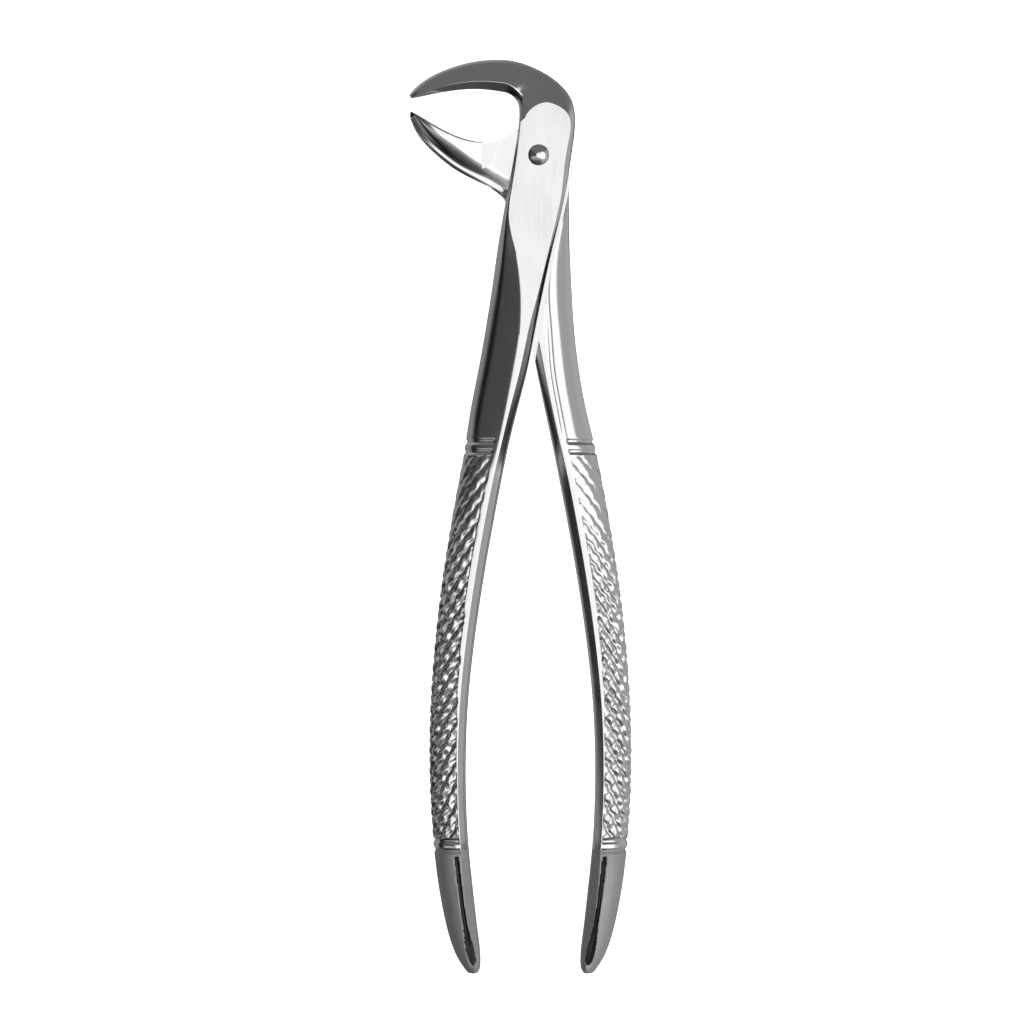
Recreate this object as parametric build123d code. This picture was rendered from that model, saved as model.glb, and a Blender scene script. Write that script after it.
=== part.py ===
from build123d import *
import os

# Extraction forceps for a lower molar: two forged steel levers that cross at one riveted lap joint.
# Millimetres. The instrument lies flat: X to the right, Y from the handles towards the beaks,
# Z up. The origin is on the pivot axis, in the plane that the instrument rests on.

# ---- driving dimensions ----
JOINT_THICKNESS = 10.0      # across the two ground joint plates
LAP_GAP = 0.06              # between the two sliding faces of the lap
CLOSING_ANGLE = 1.0         # degrees from the drawn pose to the closed one
WALL_GAP = 0.40             # between a pocket's side wall and the other half, when closed
FRONT_WEDGE_TOP = -10.2     # the front half's pocket wall starts here, clear of the opening beak
REAR_POCKET_EDGE = [(-4.0, 0.0), (-4.0, -4.0), (-7.2, -8.0)]    # clear of the front half as it opens
PIN_RADIUS = 1.6
PIN_CLEARANCE = 0.05
PIN_HEAD_RADIUS = 1.95
PIN_HEAD_RISE = 0.9
PIN_HEAD_GAP = 0.03
PIN_TAIL_RADIUS = 2.4       # peened into a countersink, flush with the rear plate
PIN_TAIL_DEPTH = 0.8
HANDLE_AXIS_X = -1.5        # the two handles mirror each other about this line
PIVOT_TABLE_RADIUS = 7.7    # flat lap face round the pivot, both halves
REAR_TABLE_RADIUS = 10.7    # flat lap face of the rear half on the beak side, swept as it opens
REAR_TABLE_EDGE_X = -2.0    # that wider face lies to the left of this line
ARCH_CENTRE = (1.85, 4.98)  # the front plate ends in an arch below the elbow
ARCH_RADIUS = 4.78
ARCH_FLARE = 4.0            # how far the slope outside the arch runs for each mm that it drops
ARCH_DEPTH = 1.0
ARCH_REGION = [(-2.4, 7.0), (9.0, 7.98), (9.0, 12.6), (2.0, 12.6), (-3.6, 9.4), (-5.0, 9.0),
               (-5.0, 4.6)]

MID_Z = JOINT_THICKNESS / 2
ELLIPSE = 0.5523            # Bezier handle length of a quarter ellipse
BEND_TIGHTNESS = 0.44       # how much longer the handles get where a shoulder is two flats
BEYOND = 30.0               # reaches past either half in any direction
GROUND_WIDTH = 400.0        # wider than the instrument is long
SCOOP_SHARE = 0.15          # the beak's hollow is at most this share of its width
ROWS_PER_STATION = 2
STANDING = (Align.CENTER, Align.CENTER, Align.MIN)

# Cross-section styles. A is the side that faces the other handle and the back of the beak,
# B is the palm side of the handle and the inner face of the beak. The flat top runs between
# two ridges, whose places are shares of the width from B. Heights are shares of the half depth.
# (ridge B, ridge A, height of face B, of face A, roundness of shoulder B, of A, hollow of B in mm)
STYLES = {
    "tail": (0.66, 0.72, 0.10, 0.60, 0.60, 0.0, 0.0),
    "grip": (0.765, 0.79, 0.08, 0.72, 1.00, 0.0, 0.0),
    "shank": (0.76, 0.83, 0.10, 0.66, 0.38, 0.0, 0.0),
    "rear_shank": (0.72, 0.83, 0.10, 0.66, 0.52, 0.0, 0.0),
    "upper_shank": (0.71, 0.85, 0.12, 0.70, 0.36, 0.0, 0.0),
    "rear_upper_shank": (0.60, 0.85, 0.12, 0.70, 0.56, 0.0, 0.0),
    "plate_foot": (0.58, 0.92, 0.20, 0.78, 0.36, 0.0, 0.0),
    "plate_low": (0.34, 0.94, 0.30, 0.84, 0.45, 0.0, 0.0),
    "plate_side": (0.09, 0.93, 0.50, 0.86, 0.80, 0.1, 0.0),
    "plate": (0.10, 0.86, 0.60, 0.48, 1.00, 0.6, 0.0),
    "elbow_foot": (0.06, 0.45, 0.72, 0.42, 0.50, 0.3, 0.1),
    "elbow": (0.16, 0.17, 0.70, 0.34, 0.10, 0.2, 0.3),
    "beak": (0.24, 0.26, 0.70, 0.30, 0.00, 0.2, 0.8),
    "rear_root": (0.06, 0.22, 0.85, 0.20, 1.00, 0.9, 0.2),
    "rear_beak": (0.09, 0.15, 0.85, 0.25, 0.80, 0.8, 0.6),
}

# Handle stations: y, distance of face A and of face B from the handle axis line, half depth, style.
HANDLE_STATIONS = [
    (-152.0, 9.8, 11.9, 2.8, "tail"),
    (-151.4, 9.3, 12.4, 3.3, "tail"),
    (-149.6, 9.3, 13.6, 3.7, "tail"),
    (-147.4, 9.4, 14.6, 4.0, "tail"),
    (-143.4, 10.0, 15.8, 4.4, "tail"),
    (-136.8, 10.7, 17.1, 4.7, "tail"),
    (-129.0, 11.6, 18.1, 4.9, "grip"),
    (-120.0, 12.1, 18.8, 5.0, "grip"),
    (-109.7, 12.1, 19.0, 5.0, "grip"),
    (-99.5, 11.6, 18.7, 5.0, "grip"),
    (-86.4, 10.0, 17.6, 5.0, "grip"),
    (-73.3, 7.9, 15.8, 5.0, "grip"),
    (-60.2, 5.4, 13.4, 5.0, "grip"),
    (-54.1, 4.2, 12.2, 4.95, "shank"),
]

# From the handle to the beak tip: point on side A, point on side B, half depth on the outside
# of the joint, half depth on the lap's side, style.
FRONT_STATIONS = [
    ((-4.0, -47.2), (-12.8, -47.2), 4.9, 4.9, "shank"),
    ((-2.0, -39.7), (-11.2, -39.7), 4.97, 4.95, "upper_shank"),
    ((-0.6, -32.2), (-9.9, -32.2), 5.05, 5.0, "upper_shank"),
    ((0.9, -24.8), (-8.7, -24.8), 5.05, 5.0, "plate_foot"),
    ((2.5, -17.3), (-7.7, -17.3), 5.05, 5.0, "plate_low"),
    ((4.0, -11.5), (-6.7, -11.5), 5.1, 5.0, "plate_side"),
    ((5.2, -6.1), (-5.7, -6.1), 5.1, 2.0, "plate_side"),
    ((5.9, -1.4), (-4.8, -1.4), 5.2, 0.4, "plate"),
    ((6.6, 3.3), (-4.0, 3.3), 5.4, 0.4, "plate"),
    ((7.0, 7.2), (-3.5, 7.2), 5.7, 1.2, "plate"),
    ((6.4, 11.3), (-3.6, 9.2), 4.9, 2.8, "elbow_foot"),
    ((2.9, 14.9), (-4.1, 10.4), 4.1, 3.9, "elbow"),
    ((-0.9, 16.9), (-4.9, 11.2), 4.4, 4.4, "elbow"),
    ((-4.3, 18.1), (-5.9, 11.7), 4.6, 4.6, "beak"),
    ((-7.2, 18.3), (-7.2, 11.9), 4.5, 4.5, "beak"),
    ((-10.9, 18.2), (-10.2, 12.4), 4.2, 4.2, "beak"),
    ((-15.0, 17.3), (-13.9, 12.4), 3.8, 3.8, "beak"),
    ((-18.8, 15.9), (-17.3, 12.0), 3.3, 3.3, "beak"),
    ((-21.6, 14.3), (-20.1, 11.5), 2.7, 2.7, "beak"),
    ((-23.5, 12.6), (-22.3, 11.1), 2.0, 2.0, "beak"),
    ((-24.2, 11.6), (-23.9, 10.9), 1.1, 1.1, "beak"),
]
REAR_STATIONS = [
    ((1.2, -47.2), (8.8, -47.2), 4.9, 4.9, "rear_shank"),
    ((-0.4, -39.7), (7.5, -39.7), 4.97, 4.95, "rear_shank"),
    ((-1.7, -32.2), (6.6, -32.2), 5.05, 5.0, "rear_upper_shank"),
    ((-3.2, -24.8), (6.2, -24.8), 5.05, 5.0, "plate_foot"),
    ((-4.5, -17.3), (5.8, -17.3), 5.05, 5.0, "plate_low"),
    ((-5.2, -12.5), (5.7, -11.5), 5.1, 4.6, "plate_side"),
    ((-5.7, -9.5), (5.7, -6.5), 5.1, 1.6, "plate"),
    ((-6.2, -8.0), (5.9, -1.1), 5.1, 0.4, "plate"),
    ((-6.6, -7.4), (5.3, 3.9), 5.1, 0.1, "plate"),
    ((-7.1, -6.9), (2.4, 6.5), 5.1, -0.15, "plate"),
    ((-7.7, -6.4), (-1.6, 6.7), 5.1, -0.15, "plate"),
    ((-8.5, -5.9), (-4.6, 4.9), 4.9, -0.15, "rear_root"),
    ((-9.6, -5.2), (-6.8, 3.3), 4.7, -0.15, "rear_root"),
    ((-11.1, -4.5), (-9.2, 2.7), 4.6, 0.25, "rear_root"),
    ((-13.2, -3.5), (-11.9, 2.9), 4.3, 1.1, "rear_beak"),
    ((-16.2, -1.9), (-14.9, 3.6), 3.8, 2.1, "rear_beak"),
    ((-19.0, 0.4), (-17.7, 4.9), 3.3, 2.8, "rear_beak"),
    ((-21.4, 2.6), (-20.3, 6.4), 2.7, 2.6, "rear_beak"),
    ((-23.3, 5.3), (-22.4, 7.8), 2.0, 2.0, "rear_beak"),
    ((-24.0, 7.6), (-23.9, 8.6), 1.1, 1.1, "rear_beak"),
]
WALL_STATIONS = 7           # shank stations whose side A shapes the other half's pocket wall


def shoulder(start, ridge, roundness):
    """Bezier curve from a side face up to the ridge: a straight line at roundness 0, two flats
    that meet in a bend at small values, and a quarter ellipse at 1."""
    run, rise = ridge[0] - start[0], ridge[1] - start[1]
    bend = (start[0] + run * (1 - roundness) / 2, start[1] + rise * (1 + roundness) / 2)
    reach = ELLIPSE + (1 - roundness) * BEND_TIGHTNESS
    near_start = (start[0] + (bend[0] - start[0]) * reach, start[1] + (bend[1] - start[1]) * reach)
    near_ridge = (ridge[0] + (bend[0] - ridge[0]) * reach, ridge[1] + (bend[1] - ridge[1]) * reach)
    return [start, near_start, near_ridge, ridge]


def half_section(width, half_depth, style):
    """Three curves from the top of face B over the flat to the top of face A."""
    share_b, share_a, height_b, height_a, round_b, round_a, _ = style
    ridge_b, ridge_a = (width * share_b, half_depth), (width * share_a, half_depth)
    top_b, top_a = (0.0, half_depth * height_b), (width, half_depth * height_a)
    return [shoulder(top_b, ridge_b, round_b), [ridge_b, ridge_a], shoulder(top_a, ridge_a, round_a)[::-1]]


def section(row):
    """Closed upright face from side B to side A, with the same eight edges at every row."""
    a_x, a_y, b_x, b_y, above, below, *style = row
    across = Vector(a_x - b_x, a_y - b_y)
    width = across.length
    top = half_section(width, above, style)
    bottom = [[(x, -z) for x, z in curve] for curve in half_section(width, below, style)]
    scoop = min(style[-1], SCOOP_SHARE * width) * 4 / 3     # a Bezier reaches 3/4 of its handles
    high, low = top[0][0][1], bottom[0][0][1]
    third = (high - low) / 3
    face_b = [(0.0, low), (scoop, low + third), (scoop, high - third), (0.0, high)]
    curves = [*top, [top[2][-1], bottom[2][-1]], *[curve[::-1] for curve in bottom[::-1]], face_b]
    place = Plane(origin=(b_x, b_y, MID_Z), x_dir=(across.X, across.Y, 0), z_dir=(across.Y, -across.X, 0))
    edges = []
    for curve in curves:
        points = [place.from_local_coords((x, z, 0)) for x, z in curve]
        edges.append(Line(*points) if len(points) == 2 else Bezier(*points))
    return Face(Wire(edges))


def station_rows(side, lap_side, stations):
    """One row of numbers per station: A x and y, B x and y, half depth above, below, style."""
    rows = []
    for y, face_a, face_b, half_depth, style in HANDLE_STATIONS:
        place = [HANDLE_AXIS_X + side * face_a, y, HANDLE_AXIS_X + side * face_b, y]
        rows.append([*place, half_depth, half_depth, *STYLES[style]])
    for point_a, point_b, outside, lap, style in stations:
        depths = (outside, lap) if lap_side == "below" else (lap, outside)
        rows.append([*point_a, *point_b, *depths, *STYLES[style]])
    return rows


def smooth_rows(rows):
    """Rows along a uniform cubic B-spline that has the stations as its control points."""
    before = [2 * first - second for first, second in zip(rows[0], rows[1])]
    after = [2 * last - previous for last, previous in zip(rows[-1], rows[-2])]
    control = [before, *rows, after]
    smooth = []
    for i in range(len(rows) - 1):
        for step in range(ROWS_PER_STATION):
            u = step / ROWS_PER_STATION
            weights = ((1 - u) ** 3, 3 * u**3 - 6 * u**2 + 4, -3 * u**3 + 3 * u**2 + 3 * u + 1, u**3)
            columns = zip(*control[i:i + 4])
            smooth.append([sum(w * value for w, value in zip(weights, column)) / 6 for column in columns])
    return [*smooth, rows[-1]]


def forging(side, lap_side, stations):
    """One lever as forged, ground flat on both outer faces: a loft from tail to beak tip."""
    rows = smooth_rows(station_rows(side, lap_side, stations))
    lever = loft([section(row) for row in rows], ruled=True)
    return lever & Pos(0, 0, MID_Z) * Box(GROUND_WIDTH, GROUND_WIDTH, JOINT_THICKNESS)


def flat_region(outline):
    return make_face(Polyline(*outline, close=True))


def turned(profile):
    """Solid of revolution about the pivot axis, from (radius, z) points."""
    return revolve(make_face(Polyline(*[(r, 0, z) for r, z in profile], close=True)), Axis.Z)


def pin_profile(top):
    """Half outline of the rivet's shank and its spread tail, up to the given height."""
    return [(0, 0), (PIN_TAIL_RADIUS, 0), (PIN_RADIUS, PIN_TAIL_DEPTH), (PIN_RADIUS, top), (0, top)]


def pocket_wall(stations, side):
    """Where the other half's side A comes when the beaks close, moved away by the clearance."""
    wall = []
    for (x, y), *_ in stations[:WALL_STATIONS]:
        place = Vector(x, y).rotate(Axis.Z, side * CLOSING_ANGLE)
        wall.append((place.X + side * WALL_GAP, place.Y))
    return wall


def arch_cutter():
    """What stands outside the arch that ends the front plate, down to a shallow slope."""
    low = JOINT_THICKNESS - ARCH_DEPTH
    region = Pos(0, 0, low) * extrude(flat_region(ARCH_REGION), 2 * ARCH_DEPTH)
    cone_foot = ARCH_RADIUS + ARCH_FLARE * ARCH_DEPTH
    cone_top = ARCH_RADIUS - ARCH_FLARE * ARCH_DEPTH
    return region - Pos(*ARCH_CENTRE, low) * Cone(cone_foot, cone_top, 2 * ARCH_DEPTH, align=STANDING)


def make_front_half():
    """Upper beak, front joint plate and left handle, cut away below the lap face."""
    lap = MID_Z + LAP_GAP / 2
    low = lap - 2 * MID_Z
    wall = [point for point in pocket_wall(REAR_STATIONS, -1) if point[1] < FRONT_WEDGE_TOP]
    outline = [*wall, (wall[-1][0], FRONT_WEDGE_TOP), (-BEYOND, FRONT_WEDGE_TOP), (-BEYOND, 0),
               (BEYOND, 0), (BEYOND, wall[0][1])]
    pocket = Pos(0, 0, low) * extrude(flat_region(outline), lap - low)
    table = Pos(0, 0, low) * Cylinder(PIVOT_TABLE_RADIUS, lap - low, align=STANDING)
    bore = Cylinder(PIN_RADIUS + PIN_CLEARANCE, BEYOND)
    return forging(-1, "below", FRONT_STATIONS) - arch_cutter() - pocket - table - bore


def make_rear_half():
    """Lower beak, rear joint plate and right handle, cut away above the lap face."""
    lap = MID_Z - LAP_GAP / 2
    high = lap + 2 * MID_Z
    wall = pocket_wall(FRONT_STATIONS, 1)
    outline = [*wall, (BEYOND, 0), *REAR_POCKET_EDGE, (-BEYOND, REAR_POCKET_EDGE[-1][1]),
               (-BEYOND, wall[0][1])]
    pocket = Pos(0, 0, lap) * extrude(flat_region(outline), high - lap)
    table = Pos(0, 0, lap) * Cylinder(PIVOT_TABLE_RADIUS, high - lap, align=STANDING)
    swept = Pos(0, 0, lap) * Cylinder(REAR_TABLE_RADIUS, high - lap, align=STANDING)
    beak_side = Pos(REAR_TABLE_EDGE_X - BEYOND, 0, lap) * Box(2 * BEYOND, 2 * BEYOND, 2 * BEYOND)
    bore = turned(pin_profile(high))
    return forging(1, "above", REAR_STATIONS) - pocket - table - (swept & beak_side) - bore


def make_pivot_rivet():
    """Rivet with a domed head on the front plate and a tail spread into the rear half."""
    head_z = JOINT_THICKNESS + PIN_HEAD_GAP
    rise = PIN_HEAD_RISE - PIN_HEAD_GAP
    dome_radius = (PIN_HEAD_RADIUS ** 2 + rise ** 2) / (2 * rise)
    dome = Pos(0, 0, head_z + rise - dome_radius) * Sphere(dome_radius)
    above_plate = Pos(0, 0, head_z + BEYOND) * Box(2 * BEYOND, 2 * BEYOND, 2 * BEYOND)
    return turned(pin_profile(head_z)) + (dome & above_plate)


os.makedirs("parts", exist_ok=True)
export_step(make_front_half(), "parts/front_half.step")
export_step(make_rear_half(), "parts/rear_half.step")
export_step(make_pivot_rivet(), "parts/pivot_rivet.step")
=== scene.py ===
import math
import bmesh
import bpy
import numpy as np
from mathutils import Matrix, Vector


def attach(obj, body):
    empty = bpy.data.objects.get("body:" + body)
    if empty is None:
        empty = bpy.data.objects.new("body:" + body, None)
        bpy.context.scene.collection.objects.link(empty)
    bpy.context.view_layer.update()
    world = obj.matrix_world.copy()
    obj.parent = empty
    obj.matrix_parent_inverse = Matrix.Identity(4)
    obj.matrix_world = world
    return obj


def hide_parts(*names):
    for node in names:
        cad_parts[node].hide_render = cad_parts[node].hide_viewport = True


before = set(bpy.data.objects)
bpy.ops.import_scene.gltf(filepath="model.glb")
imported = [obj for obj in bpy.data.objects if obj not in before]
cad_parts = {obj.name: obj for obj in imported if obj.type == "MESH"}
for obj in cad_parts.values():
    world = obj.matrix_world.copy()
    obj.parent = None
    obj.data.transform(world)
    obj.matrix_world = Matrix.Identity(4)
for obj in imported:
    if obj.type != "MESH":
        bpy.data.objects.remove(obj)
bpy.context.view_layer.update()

# Extraction forceps: two polished steel levers on one rivet, lying flat and seen from above.
# Lengths are in millimetres, as the instrument is drawn, and MM turns them into metres.
MM = 0.001

# ---------------------------------------------------------------- sizes of the instrument
JOINT_THICKNESS = 10.0
MID_Z = JOINT_THICKNESS / 2
LAP_GAP = 0.06
PIN_RADIUS = 1.6
PIN_CLEARANCE = 0.05
PIN_HEAD_RADIUS = 1.95
PIN_HEAD_RISE = 0.9
PIN_HEAD_GAP = 0.03
PIN_TAIL_RADIUS = 2.4
PIN_TAIL_DEPTH = 0.8
HANDLE_AXIS_X = -1.5
PIVOT_TABLE_RADIUS = 7.7    # round table that both lap faces have about the rivet
REAR_TABLE_RADIUS = 10.7    # wider one on the rear half, on the beak's side of the x below
REAR_TABLE_EDGE_X = -2.0
# Corners of the rear pocket's edge, from the rivet to the back of the beak.
REAR_POCKET_EDGE = [(-4.0, 0.0), (-4.0, -4.0), (-7.2, -8.0)]
ARCH_CENTRE, ARCH_RADIUS = (1.85, 4.98), 4.78       # the front plate ends in this arch
ARCH_FLARE = 4.0                                    # how far the slope outside it runs per mm of drop
ARCH_DEPTH = 1.0                                    # the deepest that the slope goes
ARCH_CONE_BELOW, ARCH_CONE_ABOVE = 2.0, 1.0         # reach of its cone from the top of the plate
ARCH_REGION = [(-2.4, 7.0), (9.0, 7.98), (9.0, 12.6), (2.0, 12.6), (-3.6, 9.4), (-5.0, 9.0),
               (-5.0, 4.6)]
# Cove along side A of the rear beak, in mm from that side: where the curve starts and would end,
# and where its ledge ends. The curve is deepest on the beak and shallow beside the plate.
COVE_START, COVE_END, LEDGE_END = 4.6, 1.1, 0.6
COVE_WIDEST = 0.85                          # share of the width that the curve takes at most
COVE_DROP = [(-15.0, 3.0), (-10.0, 1.3)]    # (x, drop)
COVE_ONSET = [(-9.0, 0.0), (-7.6, 1.0)]     # (y of side A, share)
LEDGE_DROP, EDGE_DROP = 0.6, 0.8            # shares of the curve's drop
# The front beak's lower lip stands back: how far, the x of side B where it begins, the length
# that it grows over, and the y of side B below which there is none.
UNDERCUT, UNDERCUT_X, UNDERCUT_RUN, UNDERCUT_LOWEST_Y = 1.1, -1.0, 4.0, 9.0
# Flute along each tail: y, half width as a share of the tail's width, depth.
FLUTE = [(-150.8, 0.10, 0.0), (-150.0, 0.19, 0.7), (-147.0, 0.16, 0.7), (-143.0, 0.075, 0.5),
         (-131.0, 0.075, 0.45), (-130.0, 0.075, 0.0)]
FLUTE_PLACE = 0.63          # share of the width from B
FLUTE_CLEAR = 1.0           # it keeps this far from the middle plane
FLUTE_EDGE = 0.05           # depth from which its steel is near black: painted shade in the flute
CREASES = ((1, 0.12), (5, 0.12))        # columns from ridge B and depths, on the rear shank
CREASE_RANGE = [(-57.0, 0.0), (-50.0, 1.0), (-22.0, 1.0), (-14.0, 0.0)]
WALL_GAP = 0.40             # between a lever's side A and the other's pocket wall, beaks closed
CLOSING_ANGLE = 1.0         # degrees
FRONT_WEDGE_TOP = -10.2     # y where the front pocket's wall stops
WALL_STATIONS = 7           # stations from the handle that a pocket's wall follows
BEYOND = 30.0               # clear of the steel on either side
OVERCUT = 1.0               # how far a cutter runs past the face that it opens
SLAB_HALF_WIDTH, SLAB_LOW_Y, SLAB_HIGH_Y = 60, -180, 40      # the slab reaches past both levers

# Cross-section styles. A is the side that faces the other handle and the back of the beak,
# B is the palm side of the handle and the inner face of the beak. The flat top runs between
# two ridges, whose places are shares of the width from B. Heights are shares of the half depth.
# (ridge B, ridge A, height of face B, of face A, roundness of shoulder B, of A, hollow of B in mm)
STYLES = {
    "tail": (0.66, 0.72, 0.10, 0.60, 0.60, 0.0, 0.0),
    "grip": (0.765, 0.79, 0.08, 0.72, 1.00, 0.0, 0.0),
    "shank": (0.76, 0.83, 0.10, 0.66, 0.38, 0.0, 0.0),
    "rear_shank": (0.72, 0.83, 0.10, 0.66, 0.52, 0.0, 0.0),
    "upper_shank": (0.71, 0.85, 0.12, 0.70, 0.36, 0.0, 0.0),
    "rear_upper_shank": (0.60, 0.85, 0.12, 0.70, 0.56, 0.0, 0.0),
    "plate_foot": (0.58, 0.92, 0.20, 0.78, 0.36, 0.0, 0.0),
    "plate_low": (0.34, 0.94, 0.30, 0.84, 0.45, 0.0, 0.0),
    "plate_side": (0.09, 0.93, 0.50, 0.86, 0.80, 0.1, 0.0),
    "plate": (0.10, 0.86, 0.60, 0.48, 1.00, 0.6, 0.0),
    "elbow_foot": (0.06, 0.45, 0.72, 0.42, 0.50, 0.3, 0.1),
    "elbow": (0.16, 0.17, 0.70, 0.34, 0.10, 0.2, 0.3),
    "beak": (0.24, 0.26, 0.70, 0.30, 0.00, 0.2, 0.8),
    "rear_root": (0.06, 0.22, 0.85, 0.20, 1.00, 0.9, 0.2),
    "rear_beak": (0.09, 0.15, 0.85, 0.25, 0.80, 0.8, 0.6),
}

# Handle stations: y, distance of face A and of face B from the handle axis line, half depth, style.
HANDLE_STATIONS = [
    (-152.0, 9.8, 11.9, 2.8, "tail"),
    (-151.4, 9.3, 12.4, 3.3, "tail"),
    (-149.6, 9.3, 13.6, 3.7, "tail"),
    (-147.4, 9.4, 14.6, 4.0, "tail"),
    (-143.4, 10.0, 15.8, 4.4, "tail"),
    (-136.8, 10.7, 17.1, 4.7, "tail"),
    (-129.0, 11.6, 18.1, 4.9, "grip"),
    (-120.0, 12.1, 18.8, 5.0, "grip"),
    (-109.7, 12.1, 19.0, 5.0, "grip"),
    (-99.5, 11.6, 18.7, 5.0, "grip"),
    (-86.4, 10.0, 17.6, 5.0, "grip"),
    (-73.3, 7.9, 15.8, 5.0, "grip"),
    (-60.2, 5.4, 13.4, 5.0, "grip"),
    (-54.1, 4.2, 12.2, 4.95, "shank"),
]

# From the handle to the beak tip: point on side A, point on side B, half depth on the outside
# of the joint, half depth on the lap's side, style.
FRONT_STATIONS = [
    ((-4.0, -47.2), (-12.8, -47.2), 4.9, 4.9, "shank"),
    ((-2.0, -39.7), (-11.2, -39.7), 4.97, 4.95, "upper_shank"),
    ((-0.6, -32.2), (-9.9, -32.2), 5.05, 5.0, "upper_shank"),
    ((0.9, -24.8), (-8.7, -24.8), 5.05, 5.0, "plate_foot"),
    ((2.5, -17.3), (-7.7, -17.3), 5.05, 5.0, "plate_low"),
    ((4.0, -11.5), (-6.7, -11.5), 5.1, 5.0, "plate_side"),
    ((5.2, -6.1), (-5.7, -6.1), 5.1, 2.0, "plate_side"),
    ((5.9, -1.4), (-4.8, -1.4), 5.2, 0.4, "plate"),
    ((6.6, 3.3), (-4.0, 3.3), 5.4, 0.4, "plate"),
    ((7.0, 7.2), (-3.5, 7.2), 5.7, 1.2, "plate"),
    ((6.4, 11.3), (-3.6, 9.2), 4.9, 2.8, "elbow_foot"),
    ((2.9, 14.9), (-4.1, 10.4), 4.1, 3.9, "elbow"),
    ((-0.9, 16.9), (-4.9, 11.2), 4.4, 4.4, "elbow"),
    ((-4.3, 18.1), (-5.9, 11.7), 4.6, 4.6, "beak"),
    ((-7.2, 18.3), (-7.2, 11.9), 4.5, 4.5, "beak"),
    ((-10.9, 18.2), (-10.2, 12.4), 4.2, 4.2, "beak"),
    ((-15.0, 17.3), (-13.9, 12.4), 3.8, 3.8, "beak"),
    ((-18.8, 15.9), (-17.3, 12.0), 3.3, 3.3, "beak"),
    ((-21.6, 14.3), (-20.1, 11.5), 2.7, 2.7, "beak"),
    ((-23.5, 12.6), (-22.3, 11.1), 2.0, 2.0, "beak"),
    ((-24.2, 11.6), (-23.9, 10.9), 1.1, 1.1, "beak"),
]
REAR_STATIONS = [
    ((1.2, -47.2), (8.8, -47.2), 4.9, 4.9, "rear_shank"),
    ((-0.4, -39.7), (7.5, -39.7), 4.97, 4.95, "rear_shank"),
    ((-1.7, -32.2), (6.6, -32.2), 5.05, 5.0, "rear_upper_shank"),
    ((-3.2, -24.8), (6.2, -24.8), 5.05, 5.0, "plate_foot"),
    ((-4.5, -17.3), (5.8, -17.3), 5.05, 5.0, "plate_low"),
    ((-5.2, -12.5), (5.7, -11.5), 5.1, 4.6, "plate_side"),
    ((-5.7, -9.5), (5.7, -6.5), 5.1, 1.6, "plate"),
    ((-6.2, -8.0), (5.9, -1.1), 5.1, 0.4, "plate"),
    ((-6.6, -7.4), (5.3, 3.9), 5.1, 0.1, "plate"),
    ((-7.1, -6.9), (2.4, 6.5), 5.1, -0.15, "plate"),
    ((-7.7, -6.4), (-1.6, 6.7), 5.1, -0.15, "plate"),
    ((-8.5, -5.9), (-4.6, 4.9), 4.9, -0.15, "rear_root"),
    ((-9.6, -5.2), (-6.8, 3.3), 4.7, -0.15, "rear_root"),
    ((-11.1, -4.5), (-9.2, 2.7), 4.6, 0.25, "rear_root"),
    ((-13.2, -3.5), (-11.9, 2.9), 4.3, 1.1, "rear_beak"),
    ((-16.2, -1.9), (-14.9, 3.6), 3.8, 2.1, "rear_beak"),
    ((-19.0, 0.4), (-17.7, 4.9), 3.3, 2.8, "rear_beak"),
    ((-21.4, 2.6), (-20.3, 6.4), 2.7, 2.6, "rear_beak"),
    ((-23.3, 5.3), (-22.4, 7.8), 2.0, 2.0, "rear_beak"),
    ((-24.0, 7.6), (-23.9, 8.6), 1.1, 1.1, "rear_beak"),
]

# Knurl: two families of V grooves that cross on the palm side of each grip.
KNURL_TOP, KNURL_BOTTOM = -55.6, -126.8
KNURL_ANGLE = math.radians(32)
MAIN_PITCH, MAIN_DEPTH = 2.0, 0.58
CROSS_PITCH, CROSS_DEPTH = 2.1, 0.26
GROOVE_POWER = 1.4          # above 1 the crests are wider than the grooves
KNURL_STRENGTH = [(-84, 1.0), (-74, 0.7), (-66, 0.35), (-56, 0.3)]      # (y, share of the depth)
# Hand-rolled look: sideways sway as (mm, radians per mm along, per mm round), then how much the
# depth varies, in waves along the handle and in waves round it that lean.
KNURL_SWAY = ((0.10, 1.7, 2.1), (0.05, 4.3, -3.1))
KNURL_UNEVEN = 0.22
WAVES_ALONG, WAVES_START, WAVES_ROUND, WAVES_LEAN = 2.3, 0.7, 1.9, 0.8
KNURL_EDGE_FADE, KNURL_END_FADE = 0.15, 0.2
# Distance of the knurl's edge from face A along the handle: (y, distance).
KNURL_EDGE = [(-130, 1.5), (-120, 1.55), (-106, 1.75), (-101, 2.05), (-83, 2.7), (-50, 2.8)]
RING_GROOVES = (-53.1, -55.0, -127.3, -129.1)
RING_DEPTH, RING_HALF = 0.30, 0.55
GRIP_ROW_STEP, PLAIN_ROW_STEP = 0.195, 0.46
FINE_BELOW, FINE_ABOVE = 3.0, 3.5           # how far the fine rows run on past the knurl
CURVE_SAMPLES = 8001        # for measuring the curve
CAP_REACH = 0.25            # how far the rounded ends stand out
CAP_SHARES = (0.25, 0.5, 0.7, 0.85, 0.95)
CAP_BASE_ROWS = 3           # rows back from an end that give its direction
POLISHED_SLOT, SATIN_SLOT, KNURLED_SLOT, FLUTE_SLOT = 0, 1, 2, 3         # order of the levers' materials

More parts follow.
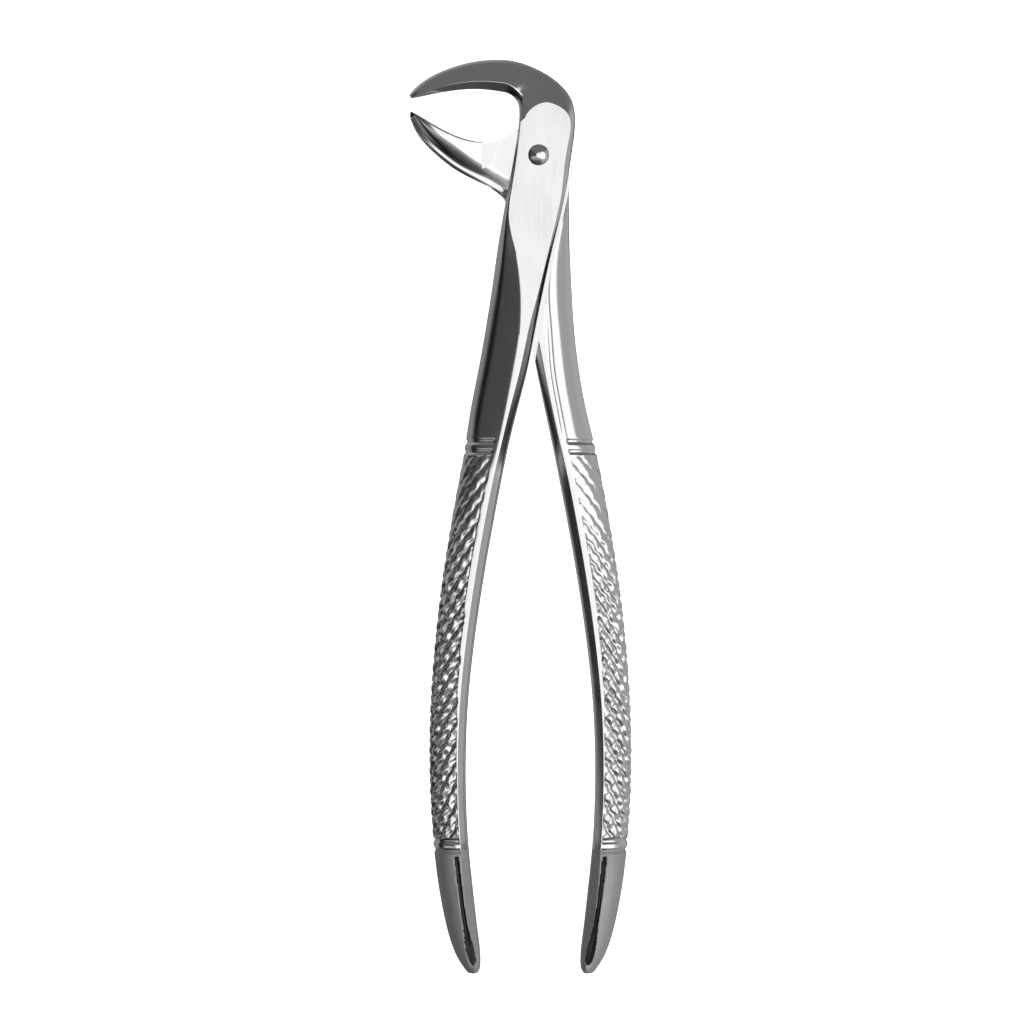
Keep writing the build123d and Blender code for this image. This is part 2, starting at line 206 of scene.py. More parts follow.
# Mesh density around a section: shoulder B, flat top, shoulder A, face A, face B.
COLUMNS_SHOULDER_B, COLUMNS_TOP, COLUMNS_SHOULDER_A, COLUMNS_A, COLUMNS_B = 44, 3, 19, 3, 6
SHOULDER_A_CROWDING = 1.6   # above 1 its columns crowd towards the ridge
ELLIPSE = 0.5523            # Bezier handle of a quarter ellipse
BEND_TIGHTNESS = 0.44       # what a sharp bend adds to it
SCOOP_SHARE = 0.15          # most of the width that the hollow of face B takes
SOFTENING_PASSES = 2
ROUND_SEGMENTS = 128
RIVET_SEGMENTS, DOME_STEPS = 96, 24
FLAT_NORMAL = 0.99999       # upright part of a ground face's normal
SHARP_ANGLE = math.radians(40)


# ---------------------------------------------------------------- lever surface
def station_rows(side, lap_side, stations):
    """One row of numbers per station: A x and y, B x and y, half depth above, below, style."""
    rows = []
    for y, face_a, face_b, half_depth, style in HANDLE_STATIONS:
        place = [HANDLE_AXIS_X + side * face_a, y, HANDLE_AXIS_X + side * face_b, y]
        rows.append([*place, half_depth, half_depth, *STYLES[style]])
    for point_a, point_b, outside, lap, style in stations:
        depths = (outside, lap) if lap_side == "below" else (lap, outside)
        rows.append([*point_a, *point_b, *depths, *STYLES[style]])
    return np.array(rows)


def smooth_curve(rows, t):
    """Uniform cubic B-spline that has the rows as control points and passes through both ends."""
    padded = np.vstack([2 * rows[0] - rows[1], rows, 2 * rows[-1] - rows[-2]])
    i = np.clip(np.floor(t).astype(int), 0, len(rows) - 2)
    u = (t - i)[:, None]
    p0, p1, p2, p3 = (padded[i + k] for k in range(4))
    return ((1 - u) ** 3 * p0 + (3 * u**3 - 6 * u**2 + 4) * p1
            + (-3 * u**3 + 3 * u**2 + 3 * u + 1) * p2 + u**3 * p3) / 6


def row_positions(rows):
    """Curve parameters with fine steps over the knurl, medium steps elsewhere."""
    fine = np.linspace(0, len(rows) - 1, CURVE_SAMPLES)
    at = smooth_curve(rows, fine)
    step_a = np.hypot(*np.diff(at[:, 0:2], axis=0).T)
    step_b = np.hypot(*np.diff(at[:, 2:4], axis=0).T)
    longest_side = np.maximum(step_a, step_b)
    y = at[:-1, 1]
    grip = (y > KNURL_BOTTOM - FINE_BELOW) & (y < KNURL_TOP + FINE_ABOVE)
    density = np.where(grip, 1 / GRIP_ROW_STEP, 1 / PLAIN_ROW_STEP)
    count = np.concatenate([[0], np.cumsum(longest_side * density)])
    return np.interp(np.arange(0, count[-1]), count, fine)


def section_width(at):
    """Distance between side A and side B on every row."""
    return np.hypot(at[:, 0:1] - at[:, 2:3], at[:, 1:2] - at[:, 3:4])


def bezier(p0, p1, p2, p3, u):
    return (1 - u) ** 3 * p0 + 3 * (1 - u) ** 2 * u * p1 + 3 * (1 - u) * u**2 * p2 + u**3 * p3


def shoulder(start, ridge, roundness, u):
    """Curve from a side face up to the ridge: a straight line at roundness 0, two flats
    that meet in a bend at small values, and a quarter ellipse at 1."""
    reach = ELLIPSE + (1 - roundness) * BEND_TIGHTNESS
    bend = [start[0] + (ridge[0] - start[0]) * (1 - roundness) / 2,
            start[1] + (ridge[1] - start[1]) * (1 + roundness) / 2]
    return [bezier(p, p + (c - p) * reach, q + (c - q) * reach, q, u) for p, c, q in zip(start, bend, ridge)]


def steps(count):
    return (np.arange(count) / count)[None, :]


def cove(width, half, drop):
    """Shoulder A as a hollow curve that ends in a narrow ledge and a rounded outer edge."""
    start = np.minimum(COVE_START, COVE_WIDEST * width)
    from_a = start * (1 - steps(COLUMNS_SHOULDER_A))
    t = np.clip((start - from_a) / (start - COVE_END), 0, 1)
    curve = half - drop * (1 - np.sqrt(1 - t**2))
    over = np.clip(1 - from_a / LEDGE_END, 0, 1)
    ledge = half - drop * (LEDGE_DROP + (EDGE_DROP - LEDGE_DROP) * (1 - np.sqrt(1 - over**2)))
    return width - from_a, np.maximum(curve, ledge)


def half_section(width, half, style, coved=0.0, drop=0.0):
    """Points from the top of face B over the flat to the top of face A, on every row. Shoulder A
    turns into a cove of that drop as coved goes from 0 to 1."""
    share_b, share_a, height_b, height_a, round_b, round_a, _ = style
    ridge_b, ridge_a = (width * share_b, half), (width * share_a, half)
    top_b, top_a = (0 * width, half * height_b), (width, half * height_a)
    x_b, z_b = shoulder(top_b, ridge_b, round_b, steps(COLUMNS_SHOULDER_B))
    x_top = ridge_b[0] + (ridge_a[0] - ridge_b[0]) * steps(COLUMNS_TOP)
    x_a, z_a = shoulder(top_a, ridge_a, round_a, 1 - steps(COLUMNS_SHOULDER_A) ** SHOULDER_A_CROWDING)
    cove_x, cove_z = cove(width, half, drop)
    x_a, z_a = x_a + (cove_x - x_a) * coved, z_a + (cove_z - z_a) * coved
    top_z_a = top_a[1] + (half - drop * EDGE_DROP - top_a[1]) * coved
    x_top = x_top + (cove_x[:, :1] - ridge_a[0]) * steps(COLUMNS_TOP) * coved
    return np.hstack([x_b, x_top, x_a, width]), np.hstack([z_b, half + 0 * x_top, z_a, top_z_a])


def section_points(at, coved, drop):
    """Across and up coordinates of every row's closed section."""
    width = section_width(at)
    above, below, *style = (at[:, k][:, None] for k in range(4, 13))
    x_up, z_up = half_section(width, above, style, coved, drop)
    x_down, z_down = half_section(width, below, style)
    top_a, low_a = z_up[:, -1:], -z_down[:, -1:]
    top_b, low_b = z_up[:, :1], -z_down[:, :1]
    face_a = top_a + (low_a - top_a) * steps(COLUMNS_A)
    scoop = np.minimum(style[-1], SCOOP_SHARE * width)
    climb = steps(COLUMNS_B)
    face_b = low_b + (top_b - low_b) * climb
    across = np.hstack([x_up[:, :-1], width + 0 * face_a, x_down[:, :0:-1], 4 * scoop * climb * (1 - climb)])
    up = np.hstack([z_up[:, :-1], face_a, -z_down[:, :0:-1], face_b])
    return across, up


def soften_corners(values):
    """Rounds the section's corners by about one column."""
    for _ in range(SOFTENING_PASSES):
        values = (np.roll(values, 1, 1) + 2 * values + np.roll(values, -1, 1)) / 4
    return values


def undercut(at, across, up):
    """Sets the lower lip of the front beak back."""
    towards_tip = np.clip((UNDERCUT_X - at[:, 2:3]) / UNDERCUT_RUN, 0, 1)
    lip = np.clip(-up / at[:, 5:6], 0, 1) * towards_tip * (at[:, 3:4] > UNDERCUT_LOWEST_Y)
    return across + UNDERCUT * lip * np.clip(1 - across / section_width(at), 0, 1)


def place_in_space(at, across, up):
    """Section points in the instrument's own axes."""
    out = (at[:, 0:2] - at[:, 2:4]) / section_width(at)
    grid = np.empty(across.shape + (3,))
    grid[..., 0] = at[:, 2][:, None] + across * out[:, 0][:, None]
    grid[..., 1] = at[:, 3][:, None] + across * out[:, 1][:, None]
    grid[..., 2] = MID_Z + up
    return grid


def outward_normals(grid):
    normal = np.cross(np.gradient(grid, axis=0), np.roll(grid, -1, 1) - np.roll(grid, 1, 1))
    normal /= np.linalg.norm(normal, axis=2, keepdims=True)
    centre = grid.mean(1, keepdims=True)
    outward = ((grid - centre) * normal)[len(grid) // 3].sum() > 0
    return normal if outward else -normal


def distance_round(grid):
    """Distance round the palm side from the middle of face B: positive above, negative below."""
    half_face = COLUMNS_B // 2
    ring = np.concatenate([grid[:, -half_face:], grid[:, : COLUMNS_SHOULDER_B + 1]], axis=1)
    climb = np.cumsum(np.linalg.norm(np.diff(ring, axis=1), axis=2), axis=1)
    arc = np.zeros(grid.shape[:2])
    arc[:, : COLUMNS_SHOULDER_B + 1] = climb[:, half_face - 1:]
    first_down = COLUMNS_SHOULDER_B + 2 * (COLUMNS_TOP + COLUMNS_SHOULDER_A) + COLUMNS_A
    arc[:, first_down: first_down + COLUMNS_SHOULDER_B] = -arc[:, COLUMNS_SHOULDER_B:0:-1]
    return arc


def groove(q, pitch, depth):
    """Depth of a row of rounded grooves at distance q across them."""
    return depth * (0.5 - 0.5 * np.cos(2 * math.pi * q / pitch)) ** GROOVE_POWER


def knurl(arc, along):
    """Depth of the knurl, a little uneven as if rolled by hand."""
    shift = sum(size * np.sin(a * along + r * arc) for size, a, r in KNURL_SWAY)
    waves = np.sin(WAVES_ALONG * along + WAVES_START)
    uneven = 1 + KNURL_UNEVEN * waves * np.sin(WAVES_ROUND * arc + WAVES_LEAN * along)
    across, onward = arc * math.cos(KNURL_ANGLE), along * math.sin(KNURL_ANGLE)
    main = groove(across - onward + shift, MAIN_PITCH, MAIN_DEPTH)
    cross = groove(across + onward + shift, CROSS_PITCH, CROSS_DEPTH)
    return np.maximum(main, cross) * uneven


def flute_depth(y, width, across, up):
    place_y, half_shares, depths = (list(column) for column in zip(*FLUTE))
    half = np.interp(y, place_y, half_shares) * width
    beside = np.abs(across - FLUTE_PLACE * width) / half
    return np.interp(y, place_y, depths) * np.clip(1 - beside**2, 0, None) * (np.abs(up) > FLUTE_CLEAR)


def surface_relief(at, across, up, grid, creased):
    """How far every point is sunk by knurl, rings, flute and creases, and its material slot."""
    y, width = at[:, 1][:, None], section_width(at)
    along = np.concatenate([[0], np.cumsum(np.hypot(*np.diff(at[:, 2:4], axis=0).T))])[:, None]
    edge = np.interp(y, *zip(*KNURL_EDGE))
    palm = np.clip((width - edge - across) / KNURL_EDGE_FADE, 0, 1)
    below_top = np.clip((KNURL_TOP - y) / KNURL_END_FADE, 0, 1)
    within = below_top * np.clip((y - KNURL_BOTTOM) / KNURL_END_FADE, 0, 1)
    strength = np.interp(y, *zip(*KNURL_STRENGTH))
    depth = knurl(distance_round(grid), along) * strength * palm * within
    for ring_y in RING_GROOVES:
        shape = np.clip(1 - ((y - ring_y) / RING_HALF) ** 2, 0, None)
        depth = np.maximum(depth, RING_DEPTH * shape * palm)
    flute = flute_depth(y, width, across, up)
    depth = np.maximum(depth, flute)
    if creased:
        for column, crease in CREASES:
            depth[:, COLUMNS_SHOULDER_B - column] += crease * np.interp(y[:, 0], *zip(*CREASE_RANGE))
    slots = np.where(y + 0 * depth < RING_GROOVES[-1], SATIN_SLOT, POLISHED_SLOT)
    slots = np.where(palm * within > 0.5, KNURLED_SLOT, slots)
    # Where the flute is deep its faces take the near-black steel: painted shade.
    return depth, np.where(flute > FLUTE_EDGE, FLUTE_SLOT, slots)


def lever_surface(side, lap_side, stations):
    """Grid of points in millimetres, rows from tail to tip, columns round the section."""
    rows = station_rows(side, lap_side, stations)
    at = smooth_curve(rows, row_positions(rows))
    rear = lap_side == "above"
    coved, drop = 0.0, 0.0
    if rear:
        coved = np.interp(at[:, 1:2], *zip(*COVE_ONSET)) * (at[:, 0:1] < HANDLE_AXIS_X)
        drop = np.interp(at[:, 0:1], *zip(*COVE_DROP))
    across, up = section_points(at, coved, drop)
    if not rear:
        across = undercut(at, across, up)
    across, up = soften_corners(across), soften_corners(up)
    grid = place_in_space(at, across, up)
    depth, slots = surface_relief(at, across, up, grid, creased=rear)
    return grid - outward_normals(grid) * depth[..., None], slots


def end_cap(ring, inner_ring):
    """Shrinking rings that round off an end, from the widest to the smallest."""
    middle = ring.mean(0)
    outward = middle - inner_ring.mean(0)
    outward /= np.linalg.norm(outward)
    return [middle + (ring - middle) * math.sqrt(1 - share**2) + outward * CAP_REACH * share
            for share in CAP_SHARES]


def add_object(name, mesh):
    """Puts the mesh in the scene with its faces turned outwards."""
    work = bmesh.new()
    work.from_mesh(mesh)
    bmesh.ops.recalc_face_normals(work, faces=work.faces)
    work.to_mesh(mesh)
    work.free()
    item = bpy.data.objects.new(name, mesh)
    bpy.context.scene.collection.objects.link(item)
    return item


def lever_mesh(name, side, lap_side, stations):
    """Closed mesh of one lever as forged, with rounded ends."""
    grid, slots = lever_surface(side, lap_side, stations)
    tail_cap = end_cap(grid[0], grid[CAP_BASE_ROWS])
    tip_cap = end_cap(grid[-1], grid[-1 - CAP_BASE_ROWS])
    points = np.vstack([np.array(tail_cap[::-1]), grid, np.array(tip_cap)])
    n_rows, n_columns = points.shape[:2]
    index = np.arange(n_rows * n_columns).reshape(n_rows, n_columns)
    a, b = index[:-1], index[1:]
    quads = np.stack([a, np.roll(a, -1, 1), np.roll(b, -1, 1), b], axis=-1).reshape(-1, 4)
    faces = quads.tolist() + [index[0][::-1].tolist(), index[-1].tolist()]
    mesh = bpy.data.meshes.new(name)
    mesh.from_pydata((points.reshape(-1, 3) * MM).tolist(), [], faces)
    for material in (POLISHED, SATIN, KNURLED, PAINTED_FLUTE_SHADE):
        mesh.materials.append(material)
    cap_rows = len(CAP_SHARES)
    all_slots = np.vstack([slots[:1]] * cap_rows + [slots[:-1]] + [slots[-1:]] * cap_rows)
    face_slots = [*all_slots.ravel().tolist(), int(slots[0, 0]), int(slots[-1, 0])]
    mesh.polygons.foreach_set("material_index", face_slots)
    return add_object(name, mesh)


# ---------------------------------------------------------------- cutters for the lap
def new_solid(name, points, faces, material):
    mesh = bpy.data.meshes.new(name)
    mesh.from_pydata([[c * MM for c in p] for p in points], [], faces)
    mesh.materials.append(material)
    return add_object(name, mesh)


def prism(name, outline, low, high, material):
    """Upright solid with the outline as its base."""
    n = len(outline)
    points = [(x, y, z) for z in (low, high) for x, y in outline]
    sides = [(i, (i + 1) % n, n + (i + 1) % n, n + i) for i in range(n)]
    return new_solid(name, points, [tuple(range(n))[::-1], tuple(range(n, 2 * n)), *sides], material)


def turned(name, profile, material, segments=ROUND_SEGMENTS, centre=(0, 0)):
    """Solid of revolution about an upright axis; the profile's first and last points lie on it."""
    ring_count = len(profile) - 2
    points = [(*centre, profile[0][1]), (*centre, profile[-1][1])]
    for r, z in profile[1:-1]:
        for k in range(segments):
            angle = 2 * math.pi * k / segments
            points.append((centre[0] + r * math.cos(angle), centre[1] + r * math.sin(angle), z))
    faces = []
    for k in range(segments):
        nxt = (k + 1) % segments
        faces.append((0, 2 + nxt, 2 + k))
        for ring in range(ring_count - 1):
            base, upper = 2 + ring * segments, 2 + (ring + 1) * segments
            faces.append((base + k, base + nxt, upper + nxt, upper + k))
        last = 2 + (ring_count - 1) * segments
        faces.append((1, last + k, last + nxt))
    return new_solid(name, points, faces, material)


def cut(piece, cutter, operation="DIFFERENCE"):
    """Applies a boolean to the piece, which takes the cutter's material on the new faces."""
    step = piece.modifiers.new("cut", "BOOLEAN")
    step.operation = operation
    step.solver = "MANIFOLD"
    step.object = cutter
    step.material_mode = "TRANSFER"
    depsgraph = bpy.context.evaluated_depsgraph_get()
    mesh = bpy.data.meshes.new_from_object(piece.evaluated_get(depsgraph))
    piece.modifiers.clear()
    old = piece.data
    piece.data = mesh
    mesh.name = piece.name
    bpy.data.meshes.remove(old)
    bpy.data.objects.remove(cutter)


def finish_shading(piece):
    """Smooth faces, with sharp edges at corners and where a ground face meets a forged one."""
    mesh = piece.data
    mesh.polygons.foreach_set("use_smooth", [abs(face.normal.z) < FLAT_NORMAL for face in mesh.polygons])
    work = bmesh.new()
    work.from_mesh(mesh)
    for edge in work.edges:
        if len(edge.link_faces) == 2:
            one, two = edge.link_faces
            edge.smooth = one.material_index == two.material_index and edge.calc_face_angle() < SHARP_ANGLE
    work.to_mesh(mesh)
    work.free()


# ---------------------------------------------------------------- materials
GRAIN_DETAIL, PATCH_SCALE, PATCH_DETAIL = 6, 160, 3
NOISE_LOW, NOISE_HIGH = 0.12, 0.42          # where grain times patches usually lies
GRAIN_HEIGHT = 0.04 * MM


def steel(name, color, roughness, spread, grain_scale, grain_stretch, bump):
    """Stainless steel with uneven polish: roughness varies and fine grain runs along Y."""
    material = bpy.data.materials.new(name)
    material.use_nodes = True
    nodes, links = material.node_tree.nodes, material.node_tree.links
    shader = nodes["Principled BSDF"]
    shader.inputs["Metallic"].default_value = 1.0
    shader.inputs["Base Color"].default_value = (*color, 1)
    place = nodes.new("ShaderNodeTexCoord")
    stretch = nodes.new("ShaderNodeMapping")
    stretch.inputs["Scale"].default_value = grain_stretch
    links.new(place.outputs["Object"], stretch.inputs["Vector"])
    grain = nodes.new("ShaderNodeTexNoise")
    grain.inputs["Scale"].default_value = grain_scale
    grain.inputs["Detail"].default_value = GRAIN_DETAIL
    links.new(stretch.outputs["Vector"], grain.inputs["Vector"])
    patches = nodes.new("ShaderNodeTexNoise")
    patches.inputs["Scale"].default_value = PATCH_SCALE
    patches.inputs["Detail"].default_value = PATCH_DETAIL
    links.new(place.outputs["Object"], patches.inputs["Vector"])
    mixed = nodes.new("ShaderNodeMath")
    mixed.operation = "MULTIPLY"
    links.new(grain.outputs["Fac"], mixed.inputs[0])
    links.new(patches.outputs["Fac"], mixed.inputs[1])
    spread_node = nodes.new("ShaderNodeMapRange")
    spread_node.inputs["From Min"].default_value = NOISE_LOW
    spread_node.inputs["From Max"].default_value = NOISE_HIGH
    spread_node.inputs["To Min"].default_value = roughness - spread
    spread_node.inputs["To Max"].default_value = roughness + spread
    links.new(mixed.outputs["Value"], spread_node.inputs["Value"])
    links.new(spread_node.outputs["Result"], shader.inputs["Roughness"])
    relief = nodes.new("ShaderNodeBump")
    relief.inputs["Strength"].default_value = bump
    relief.inputs["Distance"].default_value = GRAIN_HEIGHT
    links.new(grain.outputs["Fac"], relief.inputs["Height"])
    links.new(relief.outputs["Normal"], shader.inputs["Normal"])
    return material


POLISHED = steel("polished_steel", (0.45, 0.45, 0.46), 0.15, 0.04, 900, (1.0, 0.12, 1.0), 0.10)
GROUND = steel("ground_steel", (0.50, 0.50, 0.51), 0.32, 0.05, 2500, (1.0, 0.05, 1.0), 0.35)
LAPPED = steel("lapped_steel", (0.45, 0.45, 0.46), 0.11, 0.02, 1800, (1.0, 0.3, 1.0), 0.04)
SATIN = steel("satin_steel", (0.36, 0.36, 0.37), 0.68, 0.06, 2200, (1.0, 0.12, 1.0), 0.30)
# Near-black steel for the deep part of each tail's flute: painted shade in the recess.
PAINTED_FLUTE_SHADE = steel("painted_flute_shade_steel", (0.03, 0.03, 0.03), 0.50, 0.06, 2200, (1.0, 0.12, 1.0), 0.30)
KNURLED = steel("knurled_steel", (0.45, 0.45, 0.46), 0.24, 0.05, 1500, (1.0, 0.8, 1.0), 0.35)


# ---------------------------------------------------------------- the two levers
def grinding_slab():
    """What is left between the two ground faces."""
    outline = [(-SLAB_HALF_WIDTH, SLAB_LOW_Y), (SLAB_HALF_WIDTH, SLAB_LOW_Y),
               (SLAB_HALF_WIDTH, SLAB_HIGH_Y), (-SLAB_HALF_WIDTH, SLAB_HIGH_Y)]
    return prism("slab", outline, 0, JOINT_THICKNESS, GROUND)


def pocket_wall(stations, side):
    """Where the other half's side A comes when the beaks close, moved away by the clearance."""
    turn = side * math.radians(CLOSING_ANGLE)
    wall = []
    for (x, y), *_ in stations[:WALL_STATIONS]:
        wall.append((x * math.cos(turn) - y * math.sin(turn) + side * WALL_GAP,
                     x * math.sin(turn) + y * math.cos(turn)))
    return wall


def arch_cutter():
    """What stands outside the arch that ends the front plate, down to a shallow slope."""
    top = JOINT_THICKNESS
    cutter = prism("arch", ARCH_REGION, top - ARCH_DEPTH, top + OVERCUT / 2, POLISHED)
    low, high = top - ARCH_CONE_BELOW, top + ARCH_CONE_ABOVE
    low_radius = ARCH_RADIUS + ARCH_CONE_BELOW * ARCH_FLARE
    high_radius = ARCH_RADIUS - ARCH_CONE_ABOVE * ARCH_FLARE
    cone = [(0, low), (low_radius, low), (high_radius, high), (0, high)]
    cut(cutter, turned("cone", cone, POLISHED, centre=ARCH_CENTRE))
    return cutter


def cylinder(name, radius, low, high, material):
    return turned(name, [(0, low), (radius, low), (radius, high), (0, high)], material)


def make_front_half():
    lap = MID_Z + LAP_GAP / 2
    low = lap - 2 * MID_Z
    piece = lever_mesh("front_lever_steel", -1, "below", FRONT_STATIONS)
    cut(piece, grinding_slab(), "INTERSECT")
    cut(piece, arch_cutter())
    wall = [point for point in pocket_wall(REAR_STATIONS, -1) if point[1] < FRONT_WEDGE_TOP]
    outline = [*wall, (wall[-1][0], FRONT_WEDGE_TOP), (-BEYOND, FRONT_WEDGE_TOP), (-BEYOND, 0),
               (BEYOND, 0), (BEYOND, wall[0][1])]
    pocket = prism("pocket", outline, low, lap, LAPPED)
    cut(pocket, cylinder("table", PIVOT_TABLE_RADIUS, low, lap, LAPPED), "UNION")
    cut(piece, pocket)
    reach = 2 * JOINT_THICKNESS
    cut(piece, cylinder("bore", PIN_RADIUS + PIN_CLEARANCE, -reach, reach, LAPPED))
    finish_shading(piece)
    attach(piece, "front_lever")
    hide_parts("front_half")


def make_rear_half():
    lap = MID_Z - LAP_GAP / 2
    high = lap + 2 * MID_Z
    piece = lever_mesh("rear_lever_steel", 1, "above", REAR_STATIONS)
    cut(piece, grinding_slab(), "INTERSECT")
    wall = pocket_wall(FRONT_STATIONS, 1)
    outline = [*wall, (BEYOND, 0), *REAR_POCKET_EDGE, (-BEYOND, REAR_POCKET_EDGE[-1][1]),
               (-BEYOND, wall[0][1])]
    pocket = prism("pocket", outline, lap, high, LAPPED)
    cut(pocket, cylinder("table", PIVOT_TABLE_RADIUS, lap, high, LAPPED), "UNION")
    swept = cylinder("swept", REAR_TABLE_RADIUS, lap, high, LAPPED)
    left, right = REAR_TABLE_EDGE_X - BEYOND, REAR_TABLE_EDGE_X
    beak_side = [(left, -BEYOND), (right, -BEYOND), (right, BEYOND), (left, BEYOND)]
    cut(swept, prism("beak_side", beak_side, lap - OVERCUT, high + OVERCUT, LAPPED), "INTERSECT")
    cut(pocket, swept, "UNION")
    cut(piece, pocket)
    tail = [(0, -OVERCUT), (PIN_TAIL_RADIUS, -OVERCUT), (PIN_TAIL_RADIUS, 0), (PIN_RADIUS, PIN_TAIL_DEPTH),
            (PIN_RADIUS, high), (0, high)]
    cut(piece, turned("bore", tail, LAPPED))
    finish_shading(piece)
    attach(piece, "rear_lever")
    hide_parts("rear_half")


def make_rivet():
    head_z = JOINT_THICKNESS + PIN_HEAD_GAP
    rise = PIN_HEAD_RISE - PIN_HEAD_GAP
    dome_r = (PIN_HEAD_RADIUS**2 + rise**2) / (2 * rise)
    widest = math.asin(PIN_HEAD_RADIUS / dome_r)
    dome = []
    for k in range(DOME_STEPS):
        angle = widest * (1 - k / DOME_STEPS)
        dome.append((dome_r * math.sin(angle), head_z + rise - dome_r * (1 - math.cos(angle))))
    profile = [(0, 0), (PIN_TAIL_RADIUS, 0), (PIN_RADIUS, PIN_TAIL_DEPTH), (PIN_RADIUS, head_z), *dome,
               (0, head_z + rise)]
    piece = turned("rivet_steel", profile, POLISHED, RIVET_SEGMENTS)
    finish_shading(piece)
    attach(piece, "rear_lever")
    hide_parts("pivot_rivet")


make_front_half()
make_rear_half()
make_rivet()


# ---------------------------------------------------------------- floor, light and camera
# The camera looks straight down with the beaks at the top of the picture.
VIEW_CENTRE = (-4.95, -66.2)
VIEW_WIDTH = 191.3
LENS, SENSOR = 120.0, 36.0
CLIP_START = 0.01           # metres
CAMERA_PLACE = Vector((*VIEW_CENTRE, VIEW_WIDTH * LENS / SENSOR + MID_Z)) * MM

FLOOR_HALF_SIZE, FLOOR_Z = 3.0, -0.0001     # metres, just under the instrument
FLOOR_COLOR, FLOOR_ROUGHNESS = (0.86, 0.86, 0.86, 1), 0.9
LAMP_WATTS, LAMP_RADIUS = 25.0, 0.01

# Studio by direction. A range is a component of the direction, from and to, and then the
# strength or share at either end.
SIDE_TURN_BY_Y = (0.0, 0.9, 0.0, 0.7)           # away from the handles both side walls recede
LEFT_BY_X, LEFT_LOSS = (-0.6, 0.0, 1.0, 0.0), 0.57
RIGHT_BY_X, RIGHT_GAIN = (0.1, 0.6, 0.0, 1.0), 0.44
WALL_BY_Y = (-0.8, 0.0, 0.15, 0.28)
HORIZON_TOP_BY_Z, HORIZON_LOW_BY_Z = (0.05, 0.35, 1.0, 0.0), (-0.25, -0.02, 0.0, 1.0)
HORIZON_LOSS = 0.85                             # dark band on the left at the horizon
WALL_FOOT_BY_Z = (-0.95, -0.6, 0.3, 1.0)
# Faint light from below, which the undersides see.
BELOW_BY_Z, BELOW_BY_X, BELOW_BY_Y = (-0.3, -0.1, 1.0, 0.0), (-0.6, 0.6, 0.34, 0.05), (-0.9, -0.2, 0.1, 1.0)
ZENITH_LEAN_BY_X = (0.0, 1.0, 0.0, 0.42)        # the bright zenith reaches lower on the right
ZENITH_BY_Z = (0.925, 0.975, 0.0, 1.75)
NEAR_BY_Y, NEAR_END_BY_Y = (-0.85, -0.25, 0.0, 0.75), (-0.22, -0.06, 1.0, 0.0)
NEAR_BY_Z = (0.2, 0.6, 0.0, 1.0)                # bright patch above the handles


def make_floor():
    size = FLOOR_HALF_SIZE
    corners = [(-size, -size, FLOOR_Z), (size, -size, FLOOR_Z), (size, size, FLOOR_Z), (-size, size, FLOOR_Z)]
    mesh = bpy.data.meshes.new("floor")
    mesh.from_pydata(corners, [], [(0, 1, 2, 3)])
    floor = bpy.data.objects.new("floor", mesh)
    bpy.context.scene.collection.objects.link(floor)
    material = bpy.data.materials.new("floor_paper")
    material.use_nodes = True
    shader = material.node_tree.nodes["Principled BSDF"]
    shader.inputs["Base Color"].default_value = FLOOR_COLOR
    shader.inputs["Roughness"].default_value = FLOOR_ROUGHNESS
    mesh.materials.append(material)
    floor.visible_glossy = False


def make_overhead_light():
    """Light for the floor from where the camera is, that the steel doesn't mirror."""
    data = bpy.data.lights.new("overhead", "POINT")
    data.energy = LAMP_WATTS
    data.shadow_soft_size = LAMP_RADIUS
    lamp = bpy.data.objects.new("overhead", data)
    lamp.location = CAMERA_PLACE
    lamp.visible_glossy = False
    bpy.context.scene.collection.objects.link(lamp)


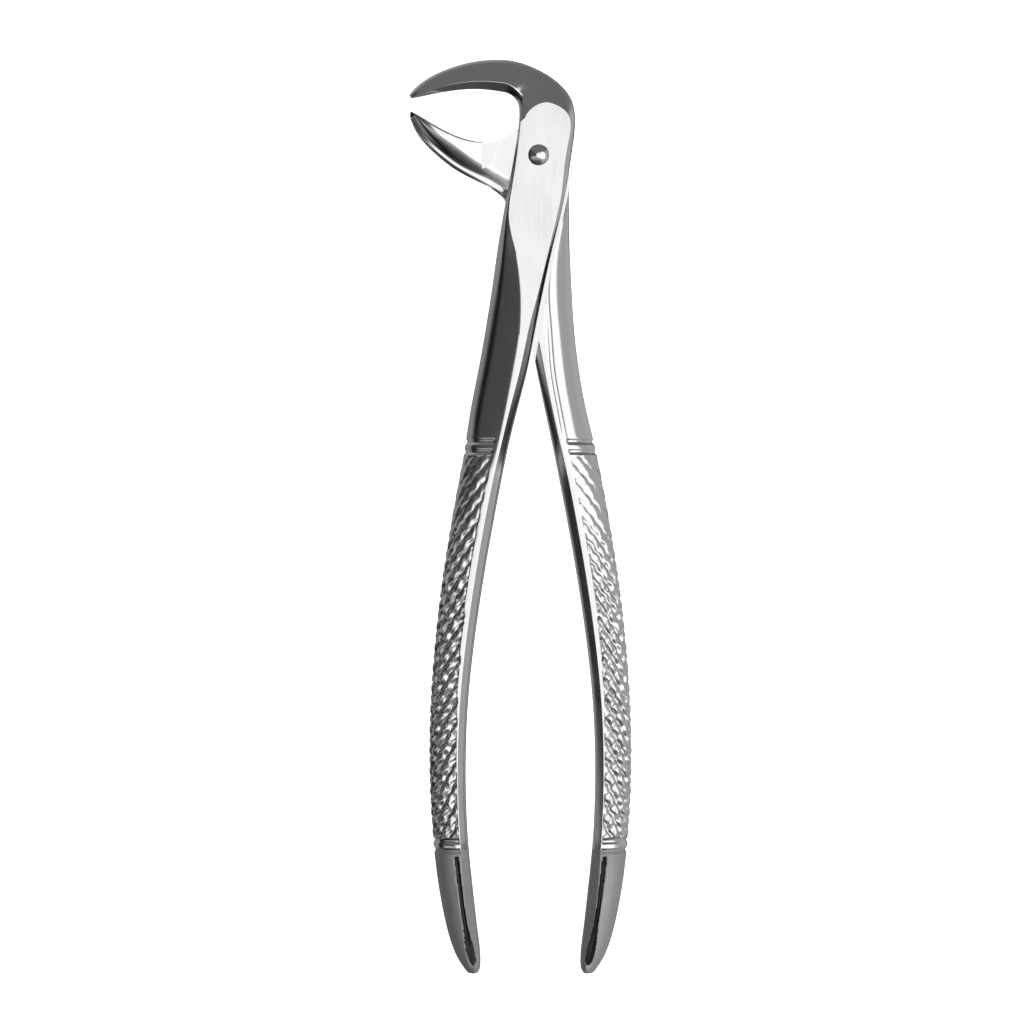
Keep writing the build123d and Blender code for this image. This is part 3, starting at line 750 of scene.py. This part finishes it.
def make_world():
    """Soft studio as the steel sees it: bright above, pale to the right, dim to the left."""
    world = bpy.data.worlds.new("studio")
    world.use_nodes = True
    nodes, links = world.node_tree.nodes, world.node_tree.links
    direction = nodes.new("ShaderNodeTexCoord")
    split = nodes.new("ShaderNodeSeparateXYZ")
    links.new(direction.outputs["Generated"], split.inputs["Vector"])

    def ranged(source, start, end, low, high):
        node = nodes.new("ShaderNodeMapRange")
        node.interpolation_type = "SMOOTHSTEP"
        for name, value in (("From Min", start), ("From Max", end), ("To Min", low), ("To Max", high)):
            node.inputs[name].default_value = value
        links.new(source, node.inputs["Value"])
        return node.outputs["Result"]

    def combined(operation, first, second):
        node = nodes.new("ShaderNodeMath")
        node.operation = operation
        for socket, value in zip(node.inputs, (first, second)):
            if isinstance(value, float):
                socket.default_value = value
            else:
                links.new(value, socket)
        return node.outputs["Value"]

    x, y, z = (split.outputs[axis] for axis in "XYZ")
    turn = ranged(y, *SIDE_TURN_BY_Y)
    left = ranged(combined("ADD", x, turn), *LEFT_BY_X)
    right = ranged(combined("SUBTRACT", x, turn), *RIGHT_BY_X)
    walls = combined("ADD", ranged(y, *WALL_BY_Y), combined("MULTIPLY", right, RIGHT_GAIN))
    walls = combined("MULTIPLY", walls, combined("SUBTRACT", 1.0, combined("MULTIPLY", left, LEFT_LOSS)))
    horizon = combined("MULTIPLY", ranged(z, *HORIZON_TOP_BY_Z), ranged(z, *HORIZON_LOW_BY_Z))
    shade = combined("MULTIPLY", combined("MULTIPLY", horizon, left), HORIZON_LOSS)
    walls = combined("MULTIPLY", walls, combined("SUBTRACT", 1.0, shade))
    walls = combined("MULTIPLY", walls, ranged(z, *WALL_FOOT_BY_Z))
    below = combined("MULTIPLY", ranged(z, *BELOW_BY_Z), ranged(x, *BELOW_BY_X))
    below = combined("MULTIPLY", below, ranged(y, *BELOW_BY_Y))
    zenith = ranged(combined("ADD", z, ranged(x, *ZENITH_LEAN_BY_X)), *ZENITH_BY_Z)
    near = combined("MULTIPLY", ranged(y, *NEAR_BY_Y), ranged(y, *NEAR_END_BY_Y))
    near = combined("MULTIPLY", near, ranged(z, *NEAR_BY_Z))
    total = combined("ADD", combined("ADD", walls, below), combined("ADD", zenith, near))
    nodes["Background"].inputs["Color"].default_value = (1, 1, 1, 1)
    links.new(total, nodes["Background"].inputs["Strength"])
    bpy.context.scene.world = world


def make_camera():
    data = bpy.data.cameras.new("camera")
    data.lens = LENS
    data.sensor_width = SENSOR
    data.clip_start = CLIP_START
    camera = bpy.data.objects.new("camera", data)
    camera.location = CAMERA_PLACE
    bpy.context.scene.collection.objects.link(camera)
    bpy.context.scene.camera = camera


make_floor()
make_overhead_light()
make_world()
make_camera()
bpy.context.scene.view_settings.view_transform = "Standard"
